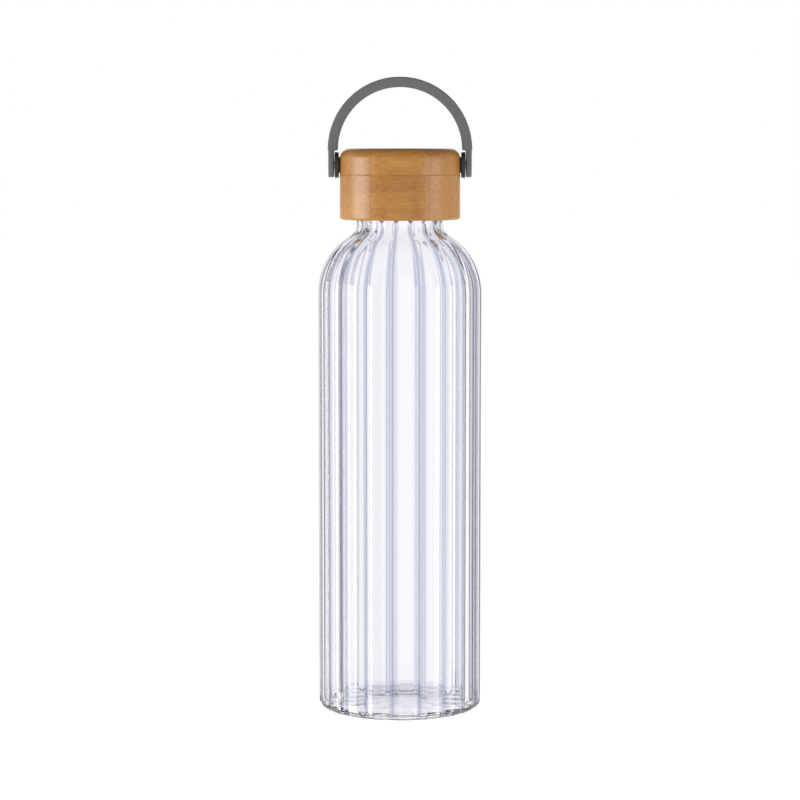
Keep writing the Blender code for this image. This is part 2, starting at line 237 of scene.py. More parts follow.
def makeThreadTree():
    names = ("Pitch", "Turns", "Start", "Height", "Root Width", "Crest Width", "Fade Turns")
    tree, entry = startGeometryTree("screwThread", names)
    position = addNode(tree, "GeometryNodeInputPosition")
    place = addNode(tree, "ShaderNodeSeparateXYZ", links={0: position})
    angle = addNode(tree, "ShaderNodeMath", {"operation": "ARCTAN2"},
                    {0: place.outputs[1], 1: place.outputs[0]})
    turns = addNode(tree, "ShaderNodeMath", {"operation": "DIVIDE"}, {0: angle, 1: math.tau})
    part = addNode(tree, "ShaderNodeMath", {"operation": "FRACT"}, {0: turns})
    start = entry.outputs["Start"]
    above = addNode(tree, "ShaderNodeMath", {"operation": "SUBTRACT"}, {0: place.outputs[2], 1: start})
    level = addNode(tree, "ShaderNodeMath", {"operation": "DIVIDE"},
                    {0: above, 1: entry.outputs["Pitch"]})
    along = addNode(tree, "ShaderNodeMath", {"operation": "SUBTRACT"}, {0: level, 1: part})
    whole = addNode(tree, "ShaderNodeMath", {"operation": "ROUND"}, {0: along})
    gap = addNode(tree, "ShaderNodeMath", {"operation": "SUBTRACT"}, {0: along, 1: whole})
    distance = addNode(tree, "ShaderNodeMath", {"operation": "ABSOLUTE"}, {0: gap})
    away = addNode(tree, "ShaderNodeMath", {"operation": "MULTIPLY"},
                   {0: distance, 1: entry.outputs["Pitch"]})
    rootHalf = addNode(tree, "ShaderNodeMath", {"operation": "MULTIPLY"},
                       {0: entry.outputs["Root Width"], 1: 0.5})
    crestHalf = addNode(tree, "ShaderNodeMath", {"operation": "MULTIPLY"},
                        {0: entry.outputs["Crest Width"], 1: 0.5})
    ridge = addNode(tree, "ShaderNodeMapRange", {"interpolation_type": "SMOOTHSTEP"},
                    {"Value": away, "From Min": rootHalf, "From Max": crestHalf})
    turn = addNode(tree, "ShaderNodeMath", {"operation": "ADD"}, {0: whole, 1: part})
    left = addNode(tree, "ShaderNodeMath", {"operation": "SUBTRACT"},
                   {0: entry.outputs["Turns"], 1: turn})
    nearest = addNode(tree, "ShaderNodeMath", {"operation": "MINIMUM"}, {0: turn, 1: left})
    fade = addNode(tree, "ShaderNodeMapRange", {"interpolation_type": "SMOOTHSTEP"},
                   {"Value": nearest, "From Min": 0.0, "From Max": entry.outputs["Fade Turns"]})
    share = addNode(tree, "GeometryNodeInputNamedAttribute", {"data_type": "FLOAT"},
                    {"Name": "threadShare"})
    height = addNode(tree, "ShaderNodeMath", {"operation": "MULTIPLY"},
                     {0: share, 1: entry.outputs["Height"]})
    faded = addNode(tree, "ShaderNodeMath", {"operation": "MULTIPLY"}, {0: height, 1: fade})
    outward = addNode(tree, "ShaderNodeMath", {"operation": "MULTIPLY"}, {0: faded, 1: ridge})
    moved = pushRadially(tree, entry.outputs["Geometry"], place, outward, 1.0)
    return endGeometryTree(tree, entry, moved)


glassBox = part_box("glass_body")
bottle = {
    "flutes": 19,
    "grooveTurn": math.radians(-95.3),  # the groove nearest the front
    "fluteDepth": 0.9 * mm,
    "valleySoftness": 0.35,
    "lobeFullness": 4.0,  # higher makes fuller lobes and narrower grooves
    "innerShare": 0.22,  # how far the inner wall follows the flutes
    "wall": 2.2 * mm,
    "floor": 3.0 * mm,
    "heelRadius": 3.0 * mm,
    "floorDip": 0.5 * mm,  # how far the inside corner of the floor sinks at each groove
    "paintedShadeNarrowness": 12.0,  # higher keeps the painted groove shade closer to the bottom of each groove
    "footInner": 18.0 * mm,
    "pushUp": 1.2 * mm,
    "shoulderHeight": 167.6 * mm,
    "shoulderCentre": 10.5 * mm,
    "shoulderRise": 24.8 * mm,
    "shoulderEnd": 62,
    "neckRadius": 17.3 * mm,
    "neckBore": 14.7 * mm,
    "neckStart": 194.4 * mm,
    "flutesEnd": 198.5 * mm,
    "rimRadius": 0.8 * mm,
    "segments": 494,  # 26 for each flute
}
thread = {
    "pitch": 4.0 * mm,
    "turns": 1.5,
    "start": 201.0 * mm,
    "crest": 18.6 * mm,
    "drop": 1.7 * mm,  # how much lower the lid's thread starts than the glass one
    "rootWidth": 2.2 * mm,
    "crestWidth": 0.9 * mm,
    "fadeTurns": 0.12,
}


def hollowCurve(start, slope, radius, height, steps):  # from the shoulder into the upright neck
    cornerHeight = start[1] + (radius - start[0]) * slope
    points = []
    for i in range(1, steps + 1):
        t = i / steps
        r = (1 - t) ** 2 * start[0] + (1 - (1 - t) ** 2) * radius
        z = (1 - t) ** 2 * start[1] + 2 * t * (1 - t) * cornerHeight + t * t * height
        points.append((r, z))
    return points


def shoulderOutline(bodyRadius, inset, neckRadius, share, outer):
    width = bodyRadius - bottle["shoulderCentre"] - inset
    rise = bottle["shoulderRise"] - inset
    centre = (bottle["shoulderCentre"], bottle["shoulderHeight"])
    curve = arcPoints(centre, (width, rise), 0, bottle["shoulderEnd"], 22)
    end = math.radians(bottle["shoulderEnd"])
    slope = -rise * math.cos(end) / (width * math.sin(end))
    curve += hollowCurve(curve[-1], slope, neckRadius, bottle["neckStart"], 12)
    return [(r, z, share * r / (bodyRadius - inset), 0, outer) for r, z in curve]


def outerOutline(bodyRadius, rimHeight):
    foot = bodyRadius - bottle["heelRadius"]
    points = []
    for i in range(9):
        share = i / 8
        points.append((bottle["footInner"] * share, bottle["pushUp"] * (1 - share * share), 0, 0, 0))
    heel = arcPoints((foot, bottle["heelRadius"]), (bottle["heelRadius"],) * 2, -90, 0, 10)
    for i, (r, z) in enumerate(heel):
        points.append((r, z, 0.3 + 0.7 * math.sin(math.pi * i / 20), 0, i / 10))
    points += shoulderOutline(bodyRadius, 0, bottle["neckRadius"], 1.0, 1)
    lastShare = points[-1][2]
    for i in range(1, 9):  # the flutes fade out under the lid
        share = lastShare * (0.5 + 0.5 * math.cos(math.pi * i / 8))
        height = bottle["neckStart"] + (bottle["flutesEnd"] - bottle["neckStart"]) * i / 8
        points.append((bottle["neckRadius"], height, share, 0, 1 - i / 8))
    rows = 36
    top = rimHeight - bottle["rimRadius"]
    for i in range(1, rows + 1):
        height = bottle["flutesEnd"] + (top - bottle["flutesEnd"]) * i / rows
        points.append((bottle["neckRadius"], height, 0, 1 if i < rows else 0, 0))
    centre = (bottle["neckRadius"] - bottle["rimRadius"], top)
    rim = arcPoints(centre, (bottle["rimRadius"],) * 2, 0, 90, 6)[1:]
    return points + [(r, z, 0, 0, 0) for r, z in rim]


def innerOutline(bodyRadius, rimHeight):
    centre = (bottle["neckBore"] + bottle["rimRadius"], rimHeight - bottle["rimRadius"])
    points = [(r, z, 0, 0, 0) for r, z in arcPoints(centre, (bottle["rimRadius"],) * 2, 90, 180, 6)]
    down = shoulderOutline(bodyRadius, bottle["wall"], bottle["neckBore"], bottle["innerShare"], 0)[::-1]
    for i in range(9):
        share = down[0][2] * (0.5 - 0.5 * math.cos(math.pi * i / 8))
        height = bottle["flutesEnd"] + (bottle["neckStart"] - bottle["flutesEnd"]) * i / 8
        points.append((bottle["neckBore"], height, share, 0, 0))
    points += down[1:]
    size = bottle["heelRadius"] - bottle["wall"] / 2
    centre = (bodyRadius - bottle["wall"] - size, bottle["floor"] + size)
    corner = arcPoints(centre, (size, size), 0, -90, 10)
    for i, (r, z) in enumerate(corner):
        points.append((r, z, bottle["innerShare"] * (1 - 0.3 * i / 10), 0, 0, i / 10))
    floorRadius = corner[-1][0]
    for i in range(1, 9):
        share = 1 - i / 8
        height = bottle["floor"] + bottle["pushUp"] / 2 * (1 - share * share)
        fluteShare = bottle["innerShare"] * 0.7 * share * share
        points.append((floorRadius * share, height, fluteShare, 0, 0, share ** 3))
    return points


def makeGlass(fluteTree, threadTree, material):
    step = math.tau / bottle["flutes"]
    crests = [bottle["grooveTurn"] + step * (i + 0.5) for i in range(bottle["flutes"])]
    bodyRadius = glassBox[1].x / max(math.cos(turn) for turn in crests)
    rimHeight = glassBox[1].z
    outline = outerOutline(bodyRadius, rimHeight) + innerOutline(bodyRadius, rimHeight)
    shares = ("fluteShare", "threadShare", "outerShare", "floorShare")
    mesh = latheMesh("glassBody", outline, bottle["segments"], False, shares, None, bottle["grooveTurn"])
    piece = addPiece("glassBody", mesh)
    bakeTree(piece, fluteTree, {
        "Flutes": float(bottle["flutes"]),
        "Flute Depth": bottle["fluteDepth"],
        "Groove Turn": bottle["grooveTurn"],
        "Valley Softness": bottle["valleySoftness"],
        "Lobe Fullness": bottle["lobeFullness"],
        "Floor Dip": bottle["floorDip"],
        "Painted Shade Narrowness": bottle["paintedShadeNarrowness"],
        "Material": material,
    })
    bakeTree(piece, threadTree, {
        "Pitch": thread["pitch"],
        "Turns": thread["turns"],
        "Start": thread["start"],
        "Height": thread["crest"] - bottle["neckRadius"],
        "Root Width": thread["rootWidth"],
        "Crest Width": thread["crestWidth"],
        "Fade Turns": thread["fadeTurns"],
        "Material": material,
    })
    return piece


lid = {
    "seamChamfer": 0.12 * mm,
    "seamClose": 0.14 * mm,  # the glued halves close most of the gap between the CAD solids
    "topEdge": 4.0 * mm,
    "lowerEdge": 1.2 * mm,
    "bore": 20.9 * mm,
    "linerWall": 1.4 * mm,
    "linerDisc": 1.75 * mm,
    "linerCrest": 17.95 * mm,
    "sealBead": 0.2 * mm,
    "segments": 224,
}
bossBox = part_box("pivot_boss_right")
pivotHeight = (bossBox[0].z + bossBox[1].z) / 2
pivot = {
    "height": pivotHeight,
    "bossRadius": 3.1 * mm,
    "flangeStart": 24.4 * mm,
    "insertRadius": 2.5 * mm,
    "screwRadius": 1.5 * mm,
    "screwPitch": 0.5 * mm,
    "headStart": 27.6 * mm,
    "headRadius": 2.7 * mm,
    "socketRadius": 1.3 * mm,
    "socketDepth": 0.5 * mm,
    "knurls": 28,
    "gap": 0.3 * mm,
    "segments": 64,
}


def cutWith(piece, cutters):  # takes the cutter meshes out of the piece
    for mesh in cutters:
        cutter = addPiece("cutter", mesh)
        modifier = piece.modifiers.new("cut", "BOOLEAN")
        modifier.operation = "DIFFERENCE"
        modifier.solver = "EXACT"
        modifier.object = cutter
        bpy.context.view_layer.update()
        evaluated = piece.evaluated_get(bpy.context.evaluated_depsgraph_get())
        cut = bpy.data.meshes.new_from_object(evaluated)
        piece.modifiers.remove(modifier)
        piece.data = cut
        bpy.data.objects.remove(cutter)
    smoothMesh(piece.data, 30)


def turnOntoPivot(mesh, sign):  # the outline's height becomes the distance out along the pivot axis
    lift = Matrix.Translation((0, 0, pivot["height"]))
    mesh.transform(lift @ Matrix.Rotation(sign * math.pi / 2, 4, "Y"))
    return mesh


def roundedSteps(corners, size, steps=5):  # an outline through the corners, each one rounded off
    points = []
    for before, corner, after in zip(corners[-1:] + corners[:-1], corners, corners[1:] + corners[:1]):
        corner = Vector(corner)
        towards = (Vector(before) - corner).normalized()
        away = (Vector(after) - corner).normalized()
        for i in range(steps + 1):
            t = i / steps
            point = corner + towards * size * (1 - t) ** 2 + away * size * t ** 2
            points.append((point.x, point.y))
    return points


def pivotHole(sign):
    wide = pivot["bossRadius"] + pivot["gap"]
    narrow = pivot["insertRadius"] + pivot["gap"]
    outline = [(0, 8.3 * mm), (narrow, 8.3 * mm), (narrow, 16.6 * mm)]
    outline += [(wide, 16.6 * mm), (wide, 30 * mm), (0, 30 * mm)]
    return turnOntoPivot(latheMesh("pivotHole", outline, 48), sign)


def makeLidCap(material):
    low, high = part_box("lid_cap")
    low.z -= lid["seamClose"]
    radius = high.x
    edge = lid["topEdge"]
    chamfer = lid["seamChamfer"]
    outline = [(0, low.z), (radius - 6 * mm, low.z), (radius - chamfer, low.z), (radius, low.z + chamfer)]
    outline += [(radius, low.z + 1 * mm)]
    outline += arcPoints((radius - edge, high.z - edge), (edge, edge), 0, 90, 18)
    outline += [(radius - 10 * mm, high.z), (0, high.z)]
    piece = addPiece("lidCap", latheMesh("lidCap", outline, lid["segments"]), material)
    cutWith(piece, [pivotHole(1), pivotHole(-1)])
    return piece


def makeLidCollar(material):
    low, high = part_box("lid_collar")
    high.z += lid["seamClose"]
    radius = high.x
    size = lid["lowerEdge"]
    chamfer = lid["seamChamfer"]
    outline = [(lid["bore"] + 0.3 * mm, low.z)]
    outline += arcPoints((radius - size, low.z + size), (size, size), -90, 0, 8)
    outline += [(radius, high.z - chamfer), (radius - chamfer, high.z), (lid["bore"], high.z)]
    outline += [(lid["bore"], low.z + 0.3 * mm)]
    return addPiece("lidCollar", latheMesh("lidCollar", outline, lid["segments"], True), material)


def makeLidLiner(threadTree, material):
    low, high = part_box("lid_liner")
    radius = high.x
    inner = radius - lid["linerWall"]
    under = high.z - lid["linerDisc"]
    outline = [(0, under, 0), (14 * mm, under, 0)]
    size = 0.6 * mm
    outline += [(r, z, 0) for r, z in arcPoints((inner - size, under - size), (size, size), 90, 0, 5)]
    rows = 48
    for i in range(1, rows + 1):
        height = under - size + (low.z + 0.4 * mm - under + size) * i / rows
        outline.append((inner, height, 1 if i < rows else 0))
    centre = ((inner + radius) / 2, low.z + 0.4 * mm)
    outline += [(r, z, 0) for r, z in arcPoints(centre, ((radius - inner) / 2, 0.4 * mm), 180, 360, 10)[1:]]
    outline += [(radius, high.z - 0.4 * mm, 0), (radius - 0.4 * mm, high.z, 0), (0, high.z, 0)]
    mesh = latheMesh("lidLiner", outline, 240, False, ("threadShare",))
    piece = addPiece("lidLiner", mesh)
    return bakeTree(piece, threadTree, {
        "Pitch": thread["pitch"],
        "Turns": thread["turns"],
        "Start": thread["start"] - thread["drop"],
        "Height": lid["linerCrest"] - inner,
        "Root Width": thread["rootWidth"],
        "Crest Width": thread["crestWidth"],
        "Fade Turns": thread["fadeTurns"],
        "Material": material,
    })


def makeSeal(material):
    low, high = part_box("seal_ring")
    outer = high.x
    inner = bottle["neckBore"] + 0.2 * mm
    bead = lid["sealBead"]
    corners = [(inner, low.z), (outer, low.z), (outer, high.z - bead), (inner + 2.4 * mm, high.z - bead)]
    corners += [(inner + 2.0 * mm, high.z), (inner + 1.4 * mm, high.z), (inner + 1.0 * mm, high.z - bead)]
    corners += [(inner, high.z - bead)]
    outline = roundedSteps(corners, 0.15 * mm, 4)
    return addPiece("sealRing", latheMesh("sealRing", outline, 160, True), material)


handle = {
    "archHeight": 224.6 * mm,
    "inner": 24.8 * mm,
    "outer": 28.7 * mm,
    "width": 10 * mm,
    "edge": 0.7 * mm,
    "leafInner": 26.3 * mm,
    "leafOuter": 28.5 * mm,
    "leafTop": 224.0 * mm,
    "archSteps": 120,
}


def strapSection(centre, outwards, inner, outer, halfWidth):
    edge = min(handle["edge"], halfWidth / 2)
    corners = [(inner, halfWidth), (outer, halfWidth), (outer, -halfWidth), (inner, -halfWidth)]
    outline = roundedSteps(corners, edge, 6)
    return [centre + outwards * distance + Vector((0, y, 0)) for distance, y in outline]


def legSections(sign):  # from the round end of the leaf up to the start of the arch
    outwards = Vector((sign, 0, 0))
    endRadius = handle["width"] / 2
    sections = []
    for i in range(13):
        angle = math.radians(15 + 75 * i / 12)
        centre = Vector((0, 0, pivot["height"] - endRadius * math.cos(angle)))
        half = endRadius * math.sin(angle)
        sections.append(strapSection(centre, outwards, handle["leafInner"], handle["leafOuter"], half))
    for i in range(7):  # a soft step from the thin leaf to the full strap
        share = 0.5 - 0.5 * math.cos(math.pi * i / 7)
        centre = Vector((0, 0, handle["leafTop"] + (handle["archHeight"] - handle["leafTop"]) * i / 7))
        inner = handle["leafInner"] + (handle["inner"] - handle["leafInner"]) * share
        outer = handle["leafOuter"] + (handle["outer"] - handle["leafOuter"]) * share
        sections.append(strapSection(centre, outwards, inner, outer, endRadius))
    return sections


def makeHandle(material):
    centre = Vector((0, 0, handle["archHeight"]))
    sections = legSections(1)
    for i in range(handle["archSteps"] + 1):
        angle = math.pi * i / handle["archSteps"]
        outwards = Vector((math.cos(angle), 0, math.sin(angle)))
        sections.append(strapSection(centre, outwards, handle["inner"], handle["outer"], handle["width"] / 2))
    sections += legSections(-1)[::-1]
    size = len(sections[0])
    points = [p for section in sections for p in section]
    faces = [list(range(size))[::-1], list(range(len(points) - size, len(points)))]
    for row in range(len(sections) - 1):
        for i in range(size):
            j = (i + 1) % size
            faces.append([row * size + i, row * size + j, (row + 1) * size + j, (row + 1) * size + i])
    mesh = bpy.data.meshes.new("handleLoop")
    mesh.from_pydata(points, [], faces)
    turnOutwards(mesh)
    piece = addPiece("handleLoop", mesh, material)
    bore = pivot["screwRadius"] + pivot["gap"]
    seat = pivot["headStart"] - pivot["gap"]
    wide = pivot["headRadius"] + pivot["gap"]
    outline = [(0, 20 * mm), (bore, 20 * mm), (bore, seat), (wide, seat), (wide, 32 * mm), (0, 32 * mm)]
    cutWith(piece, [turnOntoPivot(latheMesh("screwHole", outline, 64), sign) for sign in (1, -1)])
    return piece


def makeBoss(name, node, material, sign):
    low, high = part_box(node)
    start = min(abs(low.x), abs(high.x))
    end = max(abs(low.x), abs(high.x))
    bore = pivot["screwRadius"] + pivot["gap"]
    flange = (high.z - low.z) / 2
    radius = pivot["bossRadius"]
    outline = [(bore, start), (radius - 0.3 * mm, start), (radius, start + 0.3 * mm)]
    outline += [(radius, pivot["flangeStart"] - 0.25 * mm), (radius + 0.25 * mm, pivot["flangeStart"])]
    outline += [(flange - 0.2 * mm, pivot["flangeStart"])]
    outline += arcPoints((flange - 0.3 * mm, end - 0.3 * mm), (0.3 * mm, 0.3 * mm), 0, 90, 5)
    outline += [(bore + 0.2 * mm, end), (bore, end - 0.2 * mm)]
    mesh = latheMesh(name, outline, pivot["segments"], True)
    return addPiece(name, turnOntoPivot(mesh, sign), material)


def makeInsert(name, node, fluteTree, material, sign):
    low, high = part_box(node)
    start = min(abs(low.x), abs(high.x))
    end = max(abs(low.x), abs(high.x))
    bore = pivot["screwRadius"] + pivot["gap"]
    radius = (high.z - low.z) / 2
    length = end - start
    waist = radius - 0.35 * mm
    stations = [(0.0, radius - 0.3 * mm, 0), (0.04, radius, 1), (0.38, radius, 1), (0.42, waist, 0)]
    stations += [(0.58, waist, 0), (0.62, radius, 1), (0.96, radius, 1), (1.0, radius - 0.3 * mm, 0)]
    outline = [(bore + 0.2 * mm, start, 0)]
    outline += [(r, start + length * along, share) for along, r, share in stations]
    outline += [(bore + 0.2 * mm, end, 0), (bore, end - 0.2 * mm, 0), (bore, start + 0.2 * mm, 0)]
    mesh = latheMesh(name, outline, pivot["knurls"] * 6, True, ("fluteShare",))
    piece = addPiece(name, mesh)
    bakeTree(piece, fluteTree, {
        "Flutes": float(pivot["knurls"]),
        "Flute Depth": 0.22 * mm,
        "Groove Turn": 0.0,
        "Valley Softness": 0.05,
        "Lobe Fullness": 2.0,
        "Material": material,
    })
    turnOntoPivot(piece.data, sign)
    return piece


def makeScrew(name, node, threadTree, material, sign):
    low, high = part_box(node)
    start = min(abs(low.x), abs(high.x))
    end = max(abs(low.x), abs(high.x))
    crest = pivot["screwRadius"]
    core = crest - 0.3 * mm
    outline = [(0, start, 0), (core - 0.4 * mm, start, 0), (core, start + 0.4 * mm, 0)]
    threadEnd = 23.5 * mm
    rows = 170
    for i in range(1, rows + 1):
        along = start + 0.4 * mm + (threadEnd - start - 0.4 * mm) * i / rows
        outline.append((core, along, 1 if i < rows else 0))
    outline += [(crest, threadEnd + 0.3 * mm, 0), (crest, pivot["headStart"], 0)]
    head = pivot["headRadius"]
    outline += [(head - 0.1 * mm, pivot["headStart"], 0)]
    edge = 0.25 * mm
    outline += [(r, z, 0) for r, z in arcPoints((head - edge, end - edge), (edge, edge), 0, 90, 5)]
    outline += [(pivot["socketRadius"] + 0.4 * mm, end, 0), (0, end, 0)]
    mesh = latheMesh(name, outline, 48, False, ("threadShare",))
    piece = addPiece(name, mesh)
    bakeTree(piece, threadTree, {
        "Pitch": pivot["screwPitch"],
        "Turns": (threadEnd - start) / pivot["screwPitch"],
        "Start": start,
        "Height": crest - core,
        "Root Width": 0.44 * mm,
        "Crest Width": 0.06 * mm,
        "Fade Turns": 0.5,
        "Material": material,
    })
    across = pivot["socketRadius"]
    floor = end - pivot["socketDepth"]
    top = end + 1 * mm
    hexagon = latheMesh("hexSocket", [(0, floor), (across, floor), (across, top), (0, top)], 6)
    cutWith(piece, [hexagon])
    turnOntoPivot(piece.data, sign)
    return piece


finish = {
    "glassClear": "#FCFCFF",
    # painted shade in the grooves: a greyer glass colour standing in for refraction lines
    "glassGroovePaintedShade": "#A0A2C0",
    # painted shade along the edges of the glass where it is seen edge-on
    "glassEdgePaintedShade": "#62647A",
    "glassShadow": "#EEEFF5",
    "bambooPale": "#CC9040",
    "bambooMid": "#B57829",
    "bambooDark": "#834A1D",
    "bambooVessel": "#E2CDB2",
    "bambooGlue": "#A8794A",
    "stripWidth": 7.0,  # mm, across the fibres
    "layerHeight": 6.3,  # mm
    "strapGrey": "#6E6F71",
    "fittingBlack": "#2A2A2B",
    "linerWhite": "#E4E3DC",
    "sealGrey": "#D5D8DA",
    "steel": "#B4B1AC",
    "brass": "#D9B56B",
}


def makeGlassMaterial():  # borosilicate, blown in a ribbed mould: clear and slightly wavy; grey painted shade in its grooves and at its grazing edges stands in for the dark lines that refraction draws
    material, tree, shader, place = startMaterial("borosilicateGlass")
    # painted shade: the stored groove value darkens the glass colour at the bottom of each groove
    groove = addNode(tree, "ShaderNodeAttribute", {"attribute_name": "paintedGrooveShade"})
    tint = addNode(tree, "ShaderNodeMix", {"data_type": "RGBA"}, {0: groove.outputs["Fac"]})
    tint.inputs[6].default_value = linearColour(finish["glassClear"])
    tint.inputs[7].default_value = linearColour(finish["glassGroovePaintedShade"])
    # painted shade: glass seen edge-on is darkened in its colour, standing in for the dark refraction lines
    # along its edges
    facing = addNode(tree, "ShaderNodeLayerWeight", links={"Blend": 0.5})
    grazingShadeMask = addNode(tree, "ShaderNodeMapRange", {"interpolation_type": "SMOOTHSTEP"},
                      {"Value": facing.outputs["Facing"], "From Min": 0.66, "From Max": 0.88})
    edge = addNode(tree, "ShaderNodeMix", {"data_type": "RGBA"}, {0: grazingShadeMask})
    tree.links.new(tint.outputs[2], edge.inputs[6])
    edge.inputs[7].default_value = linearColour(finish["glassEdgePaintedShade"])
    tree.links.new(edge.outputs[2], shader.inputs["Base Color"])
    shader.inputs["Transmission Weight"].default_value = 1.0
    shader.inputs["IOR"].default_value = 1.473
    shader.inputs["Roughness"].default_value = 0.0
    # the mould leaves faint waves about 20 mm long
    wavePlace = addNode(tree, "ShaderNodeMapping", links={"Vector": place, "Scale": (0.05, 0.05, 0.02)})
    waves = addNode(tree, "ShaderNodeTexNoise", links={"Vector": wavePlace, "Scale": 1.0, "Detail": 1.0})
    bump = addNode(tree, "ShaderNodeBump",
                   links={"Height": waves.outputs[0], "Distance": 0.12 * mm, "Strength": 0.12})
    tree.links.new(bump.outputs[0], shader.inputs["Normal"])
    # shadow rays pass straight through, so the bottle casts a light, clean shadow
    path = addNode(tree, "ShaderNodeLightPath")
    clear = addNode(tree, "ShaderNodeBsdfTransparent",
                    links={"Color": linearColour(finish["glassShadow"])})
    mixed = addNode(tree, "ShaderNodeMixShader", links={0: path.outputs["Is Shadow Ray"]})
    tree.links.new(shader.outputs[0], mixed.inputs[1])
    tree.links.new(clear.outputs[0], mixed.inputs[2])
    tree.links.new(mixed.outputs[0], tree.nodes["Material Output"].inputs["Surface"])
    return material


def makeBambooMaterial():
    # laminated, turned and varnished: long fine fibres, strips of differing tone, satin coat
    material, tree, shader, place = startMaterial("laminatedBamboo")
    axes = addNode(tree, "ShaderNodeSeparateXYZ", links={0: place})
    strip = addNode(tree, "ShaderNodeMath", {"operation": "DIVIDE"},
                    {0: axes.outputs[1], 1: finish["stripWidth"]})
    stripStep = addNode(tree, "ShaderNodeMath", {"operation": "FLOOR"}, {0: strip})
    layer = addNode(tree, "ShaderNodeMath", {"operation": "DIVIDE"},
                    {0: axes.outputs[2], 1: finish["layerHeight"]})
    layerStep = addNode(tree, "ShaderNodeMath", {"operation": "FLOOR"}, {0: layer})
    block = addNode(tree, "ShaderNodeCombineXYZ", links={0: stripStep, 1: layerStep, 2: 3.0})
    chance = addNode(tree, "ShaderNodeTexWhiteNoise", {"noise_dimensions": "3D"}, {"Vector": block})
    shift = addNode(tree, "ShaderNodeVectorMath", {"operation": "SCALE"},
                    {0: chance.outputs["Color"], "Scale": 90.0})
    moved = addNode(tree, "ShaderNodeVectorMath", {"operation": "ADD"}, {0: place, 1: shift})
    # fibres about 0.6 mm thick, seen as streaks 15 mm long
    stretched = addNode(tree, "ShaderNodeMapping", links={"Vector": moved, "Scale": (0.05, 1.3, 1.3)})
    fibres = addNode(tree, "ShaderNodeTexNoise",
                     links={"Vector": stretched, "Scale": 1.0, "Detail": 5.0, "Roughness": 0.62})
    # the darker vessels are finer and sparser
    vesselPlace = addNode(tree, "ShaderNodeMapping", links={"Vector": moved, "Scale": (0.035, 2.6, 2.6)})
    vessels = addNode(tree, "ShaderNodeTexNoise",
                      links={"Vector": vesselPlace, "Scale": 1.0, "Detail": 2.0, "Roughness": 0.5})
    vesselLine = addNode(tree, "ShaderNodeMapRange", {"interpolation_type": "SMOOTHSTEP"},
                         {"Value": vessels.outputs[0], "From Min": 0.58, "From Max": 0.8})
    # a slow drift of tone over the whole lid
    cloudPlace = addNode(tree, "ShaderNodeMapping", links={"Vector": place, "Scale": (0.03, 0.06, 0.08)})
    cloud = addNode(tree, "ShaderNodeTexNoise",
                    links={"Vector": cloudPlace, "Scale": 1.0, "Detail": 2.0})
    stripTone = addNode(tree, "ShaderNodeMath", {"operation": "MULTIPLY_ADD"},
                        {0: chance.outputs["Value"], 1: 0.16, 2: fibres.outputs[0]})
    tone = addNode(tree, "ShaderNodeMath", {"operation": "MULTIPLY_ADD"},
                   {0: cloud.outputs[0], 1: 0.35, 2: stripTone})
    colours = addNode(tree, "ShaderNodeValToRGB", links={0: tone})
    ramp = colours.color_ramp
    ramp.elements[0].position = 0.3
    ramp.elements[0].color = linearColour(finish["bambooDark"])
    ramp.elements[1].position = 1.0
    ramp.elements[1].color = linearColour(finish["bambooPale"])
    ramp.elements.new(0.68).color = linearColour(finish["bambooMid"])
    vesselled = addNode(tree, "ShaderNodeMix", {"data_type": "RGBA", "blend_type": "MULTIPLY"},
                        {0: vesselLine})
    tree.links.new(colours.outputs[0], vesselled.inputs[6])
    vesselled.inputs[7].default_value = linearColour(finish["bambooVessel"])
    # the glue lines between strips and layers
    joint = vesselled.outputs[2]
    for step in (strip, layer):
        part = addNode(tree, "ShaderNodeMath", {"operation": "PINGPONG"}, {0: step, 1: 0.5})
        line = addNode(tree, "ShaderNodeMapRange", {"interpolation_type": "SMOOTHSTEP"},
                       {"Value": part, "From Min": 0.028, "From Max": 0.008, "To Max": 0.18})
        glued = addNode(tree, "ShaderNodeMix", {"data_type": "RGBA", "blend_type": "MULTIPLY"},
                        {0: line})
        tree.links.new(joint, glued.inputs[6])
        glued.inputs[7].default_value = linearColour(finish["bambooGlue"])
        joint = glued.outputs[2]
    tree.links.new(joint, shader.inputs["Base Color"])
    rough = addNode(tree, "ShaderNodeMapRange",
                    links={"Value": fibres.outputs[0], "To Min": 0.46, "To Max": 0.34})
    tree.links.new(rough.outputs[0], shader.inputs["Roughness"])
    shader.inputs["Coat Weight"].default_value = 0.35
    shader.inputs["Coat Roughness"].default_value = 0.28
    bump = addNode(tree, "ShaderNodeBump",
                   links={"Height": fibres.outputs[0], "Distance": 0.03 * mm, "Strength": 0.6})
    tree.links.new(bump.outputs[0], shader.inputs["Normal"])
    return material


